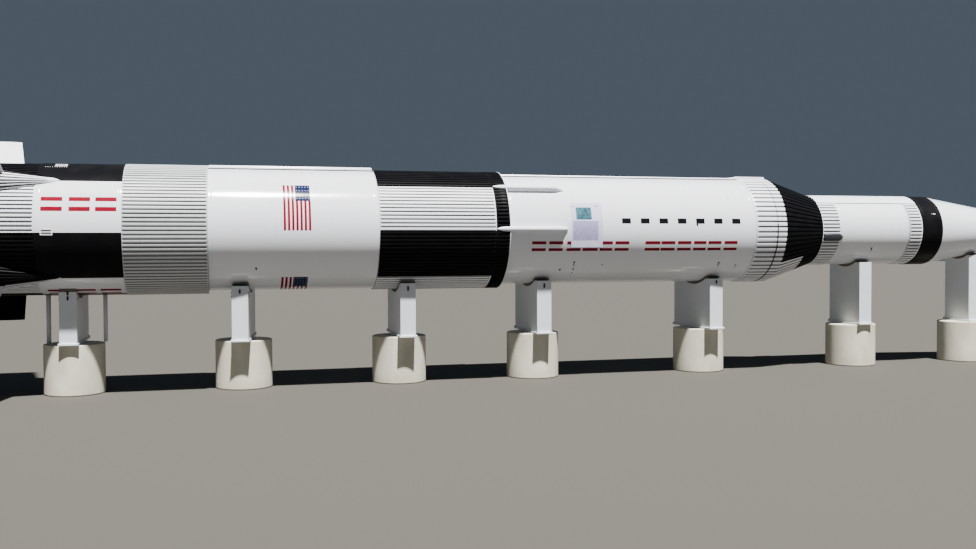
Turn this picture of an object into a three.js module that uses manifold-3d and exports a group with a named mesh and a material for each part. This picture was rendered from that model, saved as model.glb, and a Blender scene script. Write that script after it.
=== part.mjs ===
// A three-stage space rocket lying level on seven plinths, an outdoor display model of about
// one tenth of full size. Millimetres, +Z up, nose towards +X. The origin is on the ground
// under the middle of the rocket. A station is a distance forward from the engine exits.
import * as THREE from 'three';
import { mergeVertices } from 'three/addons/utils/BufferGeometryUtils.js';
import Module from 'manifold-3d';

const wasm = await Module();
wasm.setup();

// Driving dimensions
const totalLength = 11800;
const axisHeight = 1315; // rocket's axis above the ground
const clearance = 0.3; // gap between pieces that touch
const bodyFacets = 48; // sides of every large round section
const smallFacets = 24; // sides of bells, drums and other smaller round pieces

// Colour, roughness and metalness of each finish
const finishes = {
  glossWhite: [0xeef1f3, 0.22, 0],
  skirtWhite: [0xe6eaec, 0.38, 0],
  silverGrey: [0xc8cdcb, 0.42, 0.15],
  glossBlack: [0x0d0e11, 0.15, 0],
  podGrey: [0x34383c, 0.35, 0],
  bellMetal: [0x6d6a66, 0.4, 0.85],
  creamPaint: [0xcfc9b8, 0.75, 0],
  postWhite: [0xe4e6e4, 0.45, 0],
  darkPad: [0x24262a, 0.85, 0],
};

// Body sections from tail to nose. A corrugated one has ribs of a depth all round, and one with
// a bend keeps its aft radius as far as that station.
const sections = [
  // name, from, bend, to, aft radius, fore radius, ribs, rib depth, finish
  ['thrust_skirt', 588, 0, 1172, 523, 523, 100, 10, 'skirtWhite'],
  ['fuel_tank', 1172, 0, 1793, 518, 518, 0, 0, 'glossWhite'],
  ['intertank', 1793, 0, 2426, 530, 530, 100, 10, 'silverGrey'],
  ['oxidiser_tank', 2426, 0, 3780, 503, 503, 0, 0, 'glossWhite'],
  ['first_interstage', 3780, 0, 4764, 513, 513, 100, 9, 'skirtWhite'],
  ['separation_ring', 4764, 0, 4887, 515, 515, 100, 9, 'glossBlack'],
  ['second_stage_tank', 4887, 0, 7209, 479, 479, 0, 0, 'glossWhite'],
  ['second_forward_skirt', 7209, 0, 7420, 489, 489, 64, 9, 'skirtWhite'],
  ['cone_interstage', 7420, 7515, 7987, 489, 332, 64, 7, 'glossBlack'],
  ['third_aft_skirt', 7987, 0, 8178, 334, 334, 60, 8, 'skirtWhite'],
  ['third_stage_tank', 8178, 0, 8932, 330, 330, 0, 0, 'glossWhite'],
  ['third_forward_skirt', 8932, 0, 9076, 334, 334, 60, 8, 'skirtWhite'],
  ['instrument_ring', 9076, 0, 9305, 337, 337, 0, 0, 'glossBlack'],
  ['adapter_cone', 9305, 0, 10158, 333, 195.5, 0, 0, 'glossWhite'],
  ['service_module', 10158, 0, 10550, 195.5, 195.5, 0, 0, 'skirtWhite'],
].map(([name, from, bend, to, aft, fore, ribs, depth, finish]) => (
  { name, from, bend, to, aft, fore, ribs, depth, finish }
));
const section = Object.fromEntries(sections.map((row) => [row.name, row]));
const crestShare = 0.7; // share of a rib's pitch that its flat crest takes

// Engines, their fairings and the fins
const engine = { exit: 188, wall: 7, ring: 462, neck: 60, throat: 50, throatStation: 405, closed: 395 };
const bellCurve = [[0, 188], [150, 156], [300, 103]]; // station and outside radius, exit to throat
const diagonals = [45, 135, 225, 315]; // angles of the four outer engines
const tailFairing = { aft: 290, tip: 1342, axisAft: 462, axisTip: 506, radius: 258, wall: 12 };
const finRoot = { radial: 590, fore: 960, aft: 500, half: 15 };
const finTip = { radial: 1080, fore: 872, aft: 542, half: 7 };
const finShoulder = 0.3; // share of the chord from an edge to the full thickness

// Raised tunnels along the top, a low curved one on the third stage, and the slim fairings round
// the separation ring
const tunnels = [ // half widths, and heights from the rocket's axis at stations along the crest
  { name: 'oxidiser_tunnel', half: 42, crestHalf: 34, drop: 12, crest: [[2426, 532], [3780, 532]] },
  {
    name: 'second_stage_tunnel', half: 100, crestHalf: 96, drop: 4,
    crest: [[4887, 487], [7150, 487], [7206, 501], [7500, 501]],
  },
];
const tunnelRoot = 0.75; // share of the top's height that a tunnel's foot starts from, inside the body
const curvedTunnel = {
  name: 'third_stage_tunnel', from: 7987, to: 9076, halfAngle: 39.7, outer: 338, steps: 8,
};
const slimFairings = { angles: [0, 45, 135, 180], inner: 470 };
const slimShape = [ // station, half width and outside radius
  { at: 4768, half: 3, outer: 517 },
  { at: 4868, half: 22.5, outer: 527 },
  { at: 5330, half: 22.5, outer: 527 },
  { at: 5403, half: 14, outer: 492 },
];
const pods = { from: 7996, to: 8205, nose: 45, width: 74, inner: 310, outer: 356, angles: [-12, 168] };

// Spacecraft ahead of the adapter
const thruster = { at: 10290, length: 46, width: 40, outer: 209 };
const capsule = {
  from: 10550, shoulder: 10572, radius: 195.5, top: 10880, topRadius: 58, end: 10895, endRadius: 44,
};
const tower = {
  aft: 10866, fore: 11200, aftRadius: 60, foreRadius: 48, bays: 3, leg: 5.5, rail: 4, brace: 3.2, sides: 6,
};
const escapeMotor = { flare: 60, flareEnd: 11225, tubeStart: 11290, radius: 33, tubeEnd: 11690 };

// Plinths. Some posts stand a few degrees askew on their drums, and a saddle pad stands proud of
// its post's shoulders.
const plinths = [
  // station of the drum and of the post, turn in degrees, the post's front, back and shoulder height
  [1377, 1366, 0, -251, 430, 843],
  [2701, 2701, -6, -325, 370, 856],
  [4014, 4040, 0, -319, 370, 862],
  [5230, 5243, 0, -314, 370, 868],
  [6867, 6880, 3, -309, 370, 868],
  [8509, 8509, 0, -240, 252, 1004],
  [9810, 9810, 0, -172, 172, 1068],
].map(([drumAt, postAt, turn, front, back, height]) => ({ drumAt, postAt, turn, front, back, height }));
const drum = { radius: 232, height: 402 };
const foot = { length: 150, overhang: 18, height: 20 };
const postLength = 130;
const pad = { thickness: 24, proud: 20 };
const sideBars = { stations: [1172, 1604], front: 62, width: 28, depth: 60 }; // on the first drum's back rim

const rocket = new THREE.Group();

function welded(geometry) {
  const bare = geometry.clone();
  bare.deleteAttribute('normal');
  bare.deleteAttribute('uv');
  return mergeVertices(bare, 1e-3);
}

// Triangles that a pole has closed to a line are left out
function solid(geometry) {
  const merged = welded(geometry);
  const index = merged.index.array;
  const kept = [];
  for (let i = 0; i < index.length; i += 3) {
    const [a, b, c] = [index[i], index[i + 1], index[i + 2]];
    if (a !== b && b !== c && a !== c) kept.push(a, b, c);
  }
  return new wasm.Manifold(new wasm.Mesh({
    numProp: 3,
    vertProperties: new Float32Array(merged.attributes.position.array),
    triVerts: new Uint32Array(kept),
  }));
}

function geometryOf(shape) {
  const mesh = shape.getMesh();
  const geometry = new THREE.BufferGeometry();
  geometry.setAttribute('position', new THREE.BufferAttribute(mesh.vertProperties, 3));
  geometry.setIndex(new THREE.BufferAttribute(mesh.triVerts, 1));
  return geometry;
}

function addPiece(name, shape, finish) {
  const [color, roughness, metalness] = finishes[finish];
  const geometry = geometryOf(shape);
  geometry.computeVertexNormals();
  const mesh = new THREE.Mesh(geometry, new THREE.MeshStandardMaterial({ color, roughness, metalness }));
  mesh.name = name;
  rocket.add(mesh);
}

const united = (shapes) => shapes.reduce((sum, shape) => sum.add(shape));

// Turns a profile of [station, radius] points about the X axis, or about a line beside it
function turned(profile, facets = bodyFacets) {
  const points = profile.map(([station, radius]) => new THREE.Vector2(radius, station));
  return new THREE.LatheGeometry(points, facets).rotateZ(-Math.PI / 2);
}

// Moves a shape drawn at angle 90 (straight up from the axis) to its angle round the rocket.
// Angles are 0 on the side of -Y and 90 at the top.
function placed(geometry, angle = 90) {
  return geometry
    .rotateX(THREE.MathUtils.degToRad(90 - angle))
    .translate(-totalLength / 2, 0, axisHeight);
}

// Joins rings of the same number of points with a skin. Each end closes on the ring's middle.
function lofted(rings) {
  const count = rings[0].length;
  const middle = (ring) => [0, 1, 2].map((axis) => ring.reduce((sum, point) => sum + point[axis], 0) / count);
  const points = [...rings.flat(), middle(rings[0]), middle(rings[rings.length - 1])];
  const last = (rings.length - 1) * count;
  const [aftMiddle, foreMiddle] = [points.length - 2, points.length - 1];
  const index = [];
  for (let i = 0; i < count; i++) {
    const next = (i + 1) % count;
    index.push(aftMiddle, next, i, foreMiddle, last + i, last + next);
    for (let start = 0; start < last; start += count) {
      const [a, b] = [start + i, start + next];
      index.push(a, b, b + count, a, b + count, a + count);
    }
  }
  const geometry = new THREE.BufferGeometry();
  geometry.setAttribute('position', new THREE.Float32BufferAttribute(points.flat(), 3));
  geometry.setIndex(index);
  return geometry;
}

function box(xFrom, xTo, yFrom, yTo, zFrom, zTo) {
  return new THREE.BoxGeometry(xTo - xFrom, yTo - yFrom, zTo - zFrom)
    .translate((xFrom + xTo) / 2, (yFrom + yTo) / 2, (zFrom + zTo) / 2);
}

// The rocket's round body, grown on every side, for cutting what sits on it. It clears the
// crests of a corrugated section, which stand proud of a flat-sided one.
function grownBody(growth, rows = sections) {
  const crestReach = 1 / Math.cos(Math.PI / bodyFacets);
  return united(rows.map(({ from, bend, to, aft, fore, ribs }) => {
    const reach = (radius) => (ribs ? radius * crestReach : radius) + growth;
    return solid(placed(turned([
      [from - clearance, 0],
      [from - clearance, reach(aft)],
      ...(bend ? [[bend, reach(aft)]] : []),
      [to + clearance, reach(fore)],
      [to + clearance, 0],
    ])));
  }));
}

// One ring of a corrugated section: each rib has a flat crest, and a V groove parts it from the next
function ribbedRing(station, radius, ribs, depth) {
  const pitch = (2 * Math.PI) / ribs;
  const points = [];
  for (let rib = 0; rib < ribs; rib++) {
    const corners = [[-crestShare / 2, radius], [crestShare / 2, radius], [0.5, radius - depth]];
    for (const [share, reach] of corners) {
      const angle = (rib + share) * pitch;
      points.push([station, reach * Math.sin(angle), reach * Math.cos(angle)]);
    }
  }
  return points.reverse();
}

function sectionShape({ from, bend, to, aft, fore, ribs, depth }) {
  const end = to - clearance;
  if (!ribs) return solid(placed(turned([[from, 0], [from, aft], [end, fore], [end, 0]])));
  const stations = bend ? [[from, aft], [bend, aft], [end, fore]] : [[from, aft], [end, fore]];
  return solid(placed(lofted(stations.map(([station, radius]) => ribbedRing(station, radius, ribs, depth)))));
}

function addSections() {
  for (const row of sections) {
    if (row.name === 'separation_ring' || row.name === 'service_module') continue;
    addPiece(row.name, sectionShape(row), row.finish);
  }
}

function addEngines() {
  const outside = [...bellCurve, [engine.throatStation, engine.throat]];
  const inside = bellCurve.map(([station, radius]) => [station, radius - engine.wall]).reverse();
  const neckEnd = section.thrust_skirt.from - clearance;
  const profile = [
    [engine.closed, 0],
    [engine.closed, engine.throat - engine.wall],
    ...inside,
    ...outside,
    [engine.throatStation + 45, engine.neck],
    [neckEnd, engine.neck],
    [neckEnd, 0],
  ];
  const places = [[0, 90], ...diagonals.map((angle) => [engine.ring, angle])];
  places.forEach(([radial, angle], i) => {
    const bell = placed(turned(profile, smallFacets).translate(0, 0, radial), angle);
    addPiece(`engine_bell_${i + 1}`, solid(bell), 'bellMetal');
  });
}

// A cone whose axis leans out towards the tail, as rings of points round it
function leaningCone({ aft, tip, axisAft, axisTip, radius }, inset) {
  const ends = [[aft, axisAft, radius], [tip, axisTip, 2 * tailFairing.wall]];
  const rings = ends.map(([station, middle, reach]) => {
    const ring = [];
    for (let i = 0; i < bodyFacets; i++) {
      const turn = (2 * Math.PI * i) / bodyFacets;
      const size = reach - inset;
      ring.push([station, size * Math.sin(turn), middle + size * Math.cos(turn)]);
    }
    return ring;
  });
  return lofted(rings.map((ring) => ring.reverse()));
}

// Each fairing is solid where it sits on the skirt and an open shell behind it
function addTailFairings(body) {
  const { aft, tip, wall } = tailFairing;
  const skirt = section.thrust_skirt;
  const backOfSkirt = grownBody(clearance, [{ ...skirt, from: aft - 2 * wall, to: skirt.to }]);
  diagonals.forEach((angle, i) => {
    const outer = solid(placed(leaningCone(tailFairing, 0), angle));
    const behind = solid(placed(box(aft - wall, skirt.from, -tip, tip, 0, tip), angle));
    const hollow = solid(placed(leaningCone(tailFairing, wall), angle)).intersect(behind);
    const shell = outer.subtract(body).subtract(backOfSkirt).subtract(hollow);
    addPiece(`tail_fairing_${i + 1}`, shell, 'skirtWhite');
  });
}

// A fin's section is six points: both edges, and the two shoulders on each side
function finSection({ radial, fore, aft, half }) {
  const shoulder = finShoulder * (fore - aft);
  return [
    [fore, 0, radial],
    [fore - shoulder, half, radial],
    [aft + shoulder, half, radial],
    [aft, 0, radial],
    [aft + shoulder, -half, radial],
    [fore - shoulder, -half, radial],
  ];
}

function addFins() {
  const grown = { ...tailFairing, radius: tailFairing.radius + clearance };
  diagonals.forEach((angle, i) => {
    const fin = solid(placed(lofted([finSection(finRoot), finSection(finTip)]), angle));
    const seat = solid(placed(leaningCone(grown, -clearance), angle));
    addPiece(`fin_${i + 1}`, fin.subtract(seat), 'skirtWhite');
  });
}

function addTunnels(body) {
  for (const { name, half, crestHalf, drop, crest } of tunnels) {
    const root = tunnelRoot * crest[0][1];
    const inset = (i) => (i === 0 ? clearance : i === crest.length - 1 ? -clearance : 0);
    const rings = crest.map(([at, top], i) => {
      const x = at + inset(i);
      return [
        [x, -half, root],
        [x, -half, top - drop],
        [x, -crestHalf, top],
        [x, crestHalf, top],
        [x, half, top - drop],
        [x, half, root],
      ].reverse();
    });
    addPiece(name, solid(placed(lofted(rings))).subtract(body), 'skirtWhite');
  }

  // The curved tunnel keeps one radius all along, like a slice of a wider pipe
  const { name, from, to, halfAngle, outer, steps } = curvedTunnel;
  const slice = [from + clearance, to - clearance].map((x) => {
    const ring = [[x, 0, tunnelRoot * outer]];
    for (let step = 0; step <= steps; step++) {
      const turn = THREE.MathUtils.degToRad(THREE.MathUtils.lerp(-halfAngle, halfAngle, step / steps));
      ring.push([x, outer * Math.sin(turn), outer * Math.cos(turn)]);
    }
    return ring.reverse();
  });
  addPiece(name, solid(placed(lofted(slice))).subtract(body), 'skirtWhite');
}

// The separation ring carries the slim fairings
function addSeparationRing() {
  const { name, finish } = section.separation_ring;
  const others = grownBody(clearance, [section.first_interstage, section.second_stage_tank]);
  const fairings = slimFairings.angles.map((angle) => {
    const rings = slimShape.map(({ at, half, outer }) => [
      [at, -half, slimFairings.inner],
      [at, -half, outer - half],
      [at, 0, outer],
      [at, half, outer - half],
      [at, half, slimFairings.inner],
    ].reverse());
    return solid(placed(lofted(rings), angle));
  });
  addPiece(name, united(fairings).subtract(others).add(sectionShape(section.separation_ring)), finish);
}

function addPods(body) {
  const { from, to, nose, width, inner, outer } = pods;
  const half = width / 2;
  const ends = [[from, half, outer], [to - nose, half, outer], [to, half / 3, inner + half]];
  pods.angles.forEach((angle, i) => {
    const rings = ends.map(([x, reach, top]) => [
      [x, -reach, inner],
      [x, -reach, top - reach / 2],
      [x, -reach / 2, top],
      [x, reach / 2, top],
      [x, reach, top - reach / 2],
      [x, reach, inner],
    ].reverse());
    addPiece(`control_pod_${i + 1}`, solid(placed(lofted(rings), angle)).subtract(body), 'podGrey');
  });
}

function addSpacecraft() {
  const { aft, name, finish } = section.service_module;
  const halfLength = thruster.length / 2;
  const halfWidth = thruster.width / 2;
  const [blockAft, blockFore] = [thruster.at - halfLength, thruster.at + halfLength];
  const block = () => box(blockAft, blockFore, -halfWidth, halfWidth, aft - halfWidth, thruster.outer);
  const blocks = diagonals.map((angle) => solid(placed(block(), angle)));
  addPiece(name, united([sectionShape(section.service_module), ...blocks]), finish);

  addPiece('command_module', solid(placed(turned(capsuleProfile(0)))), 'skirtWhite');

  const motor = placed(turned([
    [tower.fore, 0],
    [tower.fore, escapeMotor.flare],
    [escapeMotor.flareEnd, escapeMotor.flare],
    [escapeMotor.tubeStart, escapeMotor.radius],
    [escapeMotor.tubeEnd, escapeMotor.radius],
    [totalLength, 0],
  ], smallFacets));
  addPiece('escape_motor', solid(motor), 'skirtWhite');
}

function capsuleProfile(growth) {
  const { from, shoulder, radius, top, topRadius, end, endRadius } = capsule;
  return [
    [from, 0],
    [from, radius + growth],
    [shoulder, radius + growth],
    [top, topRadius + growth],
    [end + growth, endRadius + growth],
    [end + growth, 0],
  ];
}

// A straight tube between two points
function strut(start, end, radius) {
  const along = new THREE.Vector3().subVectors(end, start);
  const upright = new THREE.Vector3(0, 1, 0);
  const turn = new THREE.Quaternion().setFromUnitVectors(upright, along.clone().normalize());
  const middle = new THREE.Vector3().addVectors(start, end).multiplyScalar(0.5);
  return new THREE.CylinderGeometry(radius, radius, along.length(), tower.sides)
    .applyQuaternion(turn)
    .translate(middle.x, middle.y, middle.z);
}

// Four legs, and in each bay a square of rails with one brace on every side
function addTower() {
  const corner = (level, leg) => {
    const share = level / tower.bays;
    const radius = THREE.MathUtils.lerp(tower.aftRadius, tower.foreRadius, share);
    const angle = THREE.MathUtils.degToRad(45 + 90 * leg);
    const x = THREE.MathUtils.lerp(tower.aft, tower.fore - 2 * tower.rail, share);
    return new THREE.Vector3(x, radius * Math.cos(angle), radius * Math.sin(angle));
  };
  const struts = [];
  for (let leg = 0; leg < 4; leg++) {
    const next = (leg + 1) % 4;
    struts.push(strut(corner(-0.2, leg), corner(tower.bays + 0.2, leg), tower.leg));
    for (let level = 1; level <= tower.bays; level++) {
      struts.push(strut(corner(level, leg), corner(level, next), tower.rail));
      struts.push(strut(corner(level - 1, leg), corner(level, next), tower.brace));
    }
  }
  const frame = united(struts.map((tube) => solid(placed(tube))));
  const seat = solid(placed(turned(capsuleProfile(clearance))));
  const reach = 2 * tower.aftRadius;
  const ahead = solid(placed(box(tower.fore - clearance, totalLength, -reach, reach, -reach, reach)));
  addPiece('escape_tower', frame.subtract(seat).subtract(ahead), 'skirtWhite');
}

function addPlinths(body) {
  const saddle = grownBody(pad.thickness);
  const saddleFace = grownBody(pad.thickness - clearance);
  plinths.forEach(({ drumAt, postAt, turn, front, back, height }, i) => {
    const number = i + 1;
    const drumShape = new THREE.CylinderGeometry(drum.radius, drum.radius, drum.height, bodyFacets)
      .rotateX(Math.PI / 2)
      .translate(drumAt - totalLength / 2, 0, drum.height / 2);
    addPiece(`plinth_drum_${number}`, solid(drumShape), 'creamPaint');

    const floor = drum.height + clearance;
    const block = (length, overhang, high) => solid(
      box(-length / 2, length / 2, front - overhang, back + overhang, floor, high)
        .rotateZ(THREE.MathUtils.degToRad(turn))
        .translate(postAt - totalLength / 2, 0, 0),
    );
    const footPlate = block(foot.length, foot.overhang, floor + foot.height);
    const upright = block(postLength, 0, height).subtract(saddle);
    addPiece(`plinth_post_${number}`, footPlate.add(upright), 'postWhite');
    const padBlock = block(postLength, 0, height + pad.proud);
    addPiece(`plinth_pad_${number}`, padBlock.intersect(saddleFace).subtract(body), 'darkPad');
  });

  const { stations, front, width, depth } = sideBars;
  stations.forEach((station, i) => {
    const x = station - totalLength / 2;
    const [left, right] = [x - width / 2, x + width / 2];
    const bar = box(left, right, front, front + depth, drum.height + clearance, axisHeight);
    addPiece(`side_bar_${i + 1}`, solid(bar).subtract(body), 'postWhite');
  });
}

const body = grownBody(clearance);
addSections();
addEngines();
addTailFairings(body);
addFins();
addTunnels(body);
addSeparationRing();
addPods(body);
addSpacecraft();
addTower();
addPlinths(body);

export default rocket;
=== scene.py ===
import math

import bpy
import numpy as np
from mathutils import Matrix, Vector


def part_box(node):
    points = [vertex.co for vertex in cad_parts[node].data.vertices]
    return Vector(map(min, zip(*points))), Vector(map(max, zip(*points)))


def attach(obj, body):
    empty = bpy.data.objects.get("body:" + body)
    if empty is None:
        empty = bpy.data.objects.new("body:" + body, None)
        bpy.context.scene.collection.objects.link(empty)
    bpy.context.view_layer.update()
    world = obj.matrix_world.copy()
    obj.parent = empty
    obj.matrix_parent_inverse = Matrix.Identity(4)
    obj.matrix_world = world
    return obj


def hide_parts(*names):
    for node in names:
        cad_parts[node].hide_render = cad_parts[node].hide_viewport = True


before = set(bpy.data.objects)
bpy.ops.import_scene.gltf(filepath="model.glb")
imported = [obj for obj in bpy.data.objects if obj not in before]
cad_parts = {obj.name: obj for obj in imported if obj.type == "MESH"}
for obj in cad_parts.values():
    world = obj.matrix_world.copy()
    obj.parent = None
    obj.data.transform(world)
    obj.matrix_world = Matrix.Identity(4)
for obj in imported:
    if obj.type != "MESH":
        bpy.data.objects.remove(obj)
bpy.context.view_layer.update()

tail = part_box("engine_bell_1")[0].x  # station 0 is where the engines end
axisZ = (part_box("fuel_tank")[0].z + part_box("fuel_tank")[1].z) / 2


def linked(name, data):
    thing = bpy.data.objects.new(name, data)
    bpy.context.scene.collection.objects.link(thing)
    return thing


# Camera: a phone's view from about 8.6 m to the side, level with the first stage

view = dict(x=-3.324, y=-8.573, z=1.150, yaw=14.66, pitch=-1.49, roll=0.22, lens=36.69, sensor=36.0)


def addCamera(x, y, z, yaw, pitch, roll, lens, sensor):
    data = bpy.data.cameras.new("photoCamera")
    data.sensor_width = sensor
    data.lens = lens
    camera = linked("photoCamera", data)
    turn = Matrix.Rotation(math.radians(-yaw), 4, "Z")
    tilt = Matrix.Rotation(math.radians(90 + pitch), 4, "X")
    lean = Matrix.Rotation(math.radians(-roll), 4, "Z")
    camera.matrix_world = Matrix.Translation((x, y, z)) @ turn @ tilt @ lean
    bpy.context.scene.camera = camera


addCamera(**view)
print("camera ready")

# Floor and studio light

studio = dict(floorSize=120.0, floorColour=(0.060, 0.0545, 0.046), floorRoughness=0.9,
              skyColour=(0.60, 0.78, 1.0), skyPower=0.13,
              keyColour=(1.0, 0.985, 0.96), keyPower=16.0, keySoftness=2.0, keyHeight=68.5, keyTurn=4.0)


def newMaterial(name):
    material = bpy.data.materials.new(name)
    material.use_nodes = True
    return material, material.node_tree, material.node_tree.nodes["Principled BSDF"]


def addStudio():
    s = studio
    material, _, shader = newMaterial("paleFloor")
    shader.inputs["Base Color"].default_value = (*s["floorColour"], 1)
    shader.inputs["Roughness"].default_value = s["floorRoughness"]
    half = s["floorSize"] / 2
    mesh = bpy.data.meshes.new("floor")
    corners = [(-half, -half, 0), (half, -half, 0), (half, half, 0), (-half, half, 0)]
    mesh.from_pydata(corners, [], [(0, 1, 2, 3)])
    mesh.materials.append(material)
    floor = linked("floor", mesh)

    world = bpy.data.worlds.new("studioWorld")
    bpy.context.scene.world = world
    world.use_nodes = True
    sky = world.node_tree.nodes["Background"]
    sky.inputs["Color"].default_value = (*s["skyColour"], 1)
    sky.inputs["Strength"].default_value = s["skyPower"]

    key = bpy.data.lights.new("keyLight", "SUN")
    key.energy = s["keyPower"]
    key.angle = math.radians(s["keySoftness"])
    key.color = s["keyColour"]
    turn = (math.radians(90 - s["keyHeight"]), 0, math.radians(s["keyTurn"]))
    linked("keyLight", key).rotation_euler = turn


addStudio()
print("floor and lights ready")

# Shapes. A shape is (points, quads, triangles, finish number of each face), closed and facing out.


# Points at a station along the rocket, a radius from its axis and an angle round it in degrees:
# 0 is the side of -Y and 90 is the top. y = -r cos(angle), z = axis + r sin(angle).
def around(stations, radii, angles):
    station, radius, turn = np.broadcast_arrays(stations, radii, np.radians(angles))
    return np.stack([tail + station, -radius * np.cos(turn), axisZ + radius * np.sin(turn)], axis=-1)


# Points beside the line that leaves the axis at an angle: r^2 = out^2 + side^2
def beside(stations, out, side, angle):
    return around(stations, np.hypot(out, side), angle + np.degrees(np.arctan2(side, out)))


# The direction away from the axis at an angle, with a lean along the rocket
def outwards(angle, lean=0.0):
    turn = math.radians(angle)
    return np.array([lean, -math.cos(turn), math.sin(turn)])


# Quads between neighbouring rows and columns of a grid; the last column joins the first if looped
def gridQuads(rows, columns, looped):
    row, column = np.meshgrid(np.arange(rows - 1), np.arange(columns - (not looped)), indexing="ij")
    here, following = row * columns + column, row * columns + (column + 1) % columns
    return np.stack([here, here + columns, following + columns, following], axis=-1).reshape(-1, 4)


# Six times the volume is the sum of p . (q x r) over the triangles; a negative one is inside out
def facedOut(points, quads, triangles, finishes):
    corners = np.concatenate([quads[:, [0, 1, 2]], quads[:, [0, 2, 3]], triangles])
    p, q, r = (points[corners[:, i]] - points.mean(axis=0) for i in range(3))
    if np.einsum("ij,ij->", p, np.cross(q, r)) < 0:
        quads, triangles = quads[:, ::-1], triangles[:, ::-1]
    return points, quads, triangles, np.broadcast_to(finishes, len(quads) + len(triangles))


# A tube through a grid's rows, each row a closed ring; a fan closes each end on its middle
def ringed(grid, finish=0):
    rows, columns = grid.shape[:2]
    points = np.concatenate([grid.reshape(-1, 3), grid[:1].mean(axis=1), grid[-1:].mean(axis=1)])
    first = np.arange(columns)
    after = np.roll(first, -1)
    last = (rows - 1) * columns
    start = np.stack([np.full(columns, rows * columns), first, after], axis=-1)
    end = np.stack([np.full(columns, rows * columns + 1), last + after, last + first], axis=-1)
    return facedOut(points, gridQuads(rows, columns, True), np.concatenate([start, end]), finish)


# The wall between two open grids of one size, closed along all four borders
def slab(outer, inner, finish=0, innerFinish=None):
    rows, columns = outer.shape[:2]
    count = rows * columns
    face = gridQuads(rows, columns, False)
    index = np.arange(count).reshape(rows, columns)
    rim = np.concatenate([index[:, 0], index[-1, 1:], index[-2::-1, -1], index[0, -2:0:-1]])
    following = np.roll(rim, -1)
    border = np.stack([rim, rim + count, following + count, following], axis=-1)
    finishes = np.repeat([finish, finish if innerFinish is None else innerFinish, finish],
                         [len(face), len(face), len(border)])
    points = np.concatenate([outer.reshape(-1, 3), inner.reshape(-1, 3)])
    quads = np.concatenate([face, face[:, ::-1] + count, border])
    return facedOut(points, quads, np.zeros((0, 3), int), finishes)


# A profile's columns, with a point more just inside both ends of each long stretch, so that a barrel is
# shaded straight right up to its softened ends
def supported(profile, hold=0.004):
    along, radius = np.array(profile, float).T
    step = np.hypot(np.diff(along), np.diff(radius))
    reach = np.concatenate([[0], np.cumsum(step)])
    long = step > 4 * hold
    places = np.sort(np.concatenate([reach, reach[:-1][long] + hold, reach[1:][long] - hold]))
    return np.interp(places, reach, along), np.interp(places, reach, radius)


# A profile of (station, radius) pairs turned round the rocket's axis, or a line at an offset from it
def turned(profile, count=192, offset=(0, 0), finish=0):
    station, radius = supported(profile)
    grid = around(station[:, None], radius[:, None], np.arange(count) * 360 / count)
    return ringed(grid + np.array([0, *offset]), finish)


sheet = dict(lift=0.0006, sunk=0.001, step=1.5)  # how far it stands proud and reaches in, degrees a column


# A thin sheet that follows the body: stations by angles at a radius, standing proud by its lift
def patch(stations, angles, radius, lift=sheet["lift"]):
    along = np.linspace(*stations, 3)[:, None]
    angle = np.linspace(*angles, 3 + int(abs(angles[1] - angles[0]) / sheet["step"]))
    return slab(around(along, radius + lift, angle), around(along, radius - sheet["sunk"], angle))


# A block with rounded upright edges: rings of a rounded rectangle, drawn in where the ends are chamfered
def block(centre, size, corner, turn=0.0):
    arcPoints, chamfer = 4, 0.7
    half = np.array(size) / 2
    quarter = np.linspace(0, np.pi / 2, arcPoints)
    arc = np.concatenate([quarter + k * np.pi / 2 for k in range(4)])
    signs = np.repeat([[1, 1], [-1, 1], [-1, -1], [1, -1]], arcPoints, axis=0)
    heights = np.array([-half[2], -half[2] + corner, half[2] - corner, half[2]])
    insets = np.array([corner, 0, 0, corner]) * chamfer
    reach = (half[:2] - corner) * signs
    outline = reach[None] + (corner - insets[:, None, None]) * np.stack([np.cos(arc), np.sin(arc)], axis=-1)
    c, s = math.cos(turn), math.sin(turn)
    x = outline[..., 0] * c - outline[..., 1] * s
    y = outline[..., 0] * s + outline[..., 1] * c
    z = np.broadcast_to(heights[:, None], x.shape)
    return ringed(np.stack([x, y, z], axis=-1) + np.array(centre))


# Unit vectors round a line: cos and sin of equal turns times two directions across it
def spokes(along, sides):
    across = np.cross(along, [0.0, 0.0, 1.0] if abs(along[2]) < 0.9 else [1.0, 0.0, 0.0])
    across /= np.linalg.norm(across)
    turn = np.arange(sides) * 2 * np.pi / sides
    return np.cos(turn)[:, None] * across + np.sin(turn)[:, None] * np.cross(along, across)


# A round bar from one point to another
def rod(start, end, radius, sides=12):
    ring = radius * spokes((end - start) / np.linalg.norm(end - start), sides)
    return ringed(np.stack([start + ring, end + ring]))


# A profile of (distance, radius) pairs turned round any line, such as a bolt's head or a nozzle
def turnedAlong(base, direction, profile, sides=12, finish=0):
    along = np.array(direction, float) / np.linalg.norm(direction)
    distance, radius = supported(profile)
    grid = np.array(base) + distance[:, None, None] * along + radius[:, None, None] * spokes(along, sides)
    return ringed(grid, finish)


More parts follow.
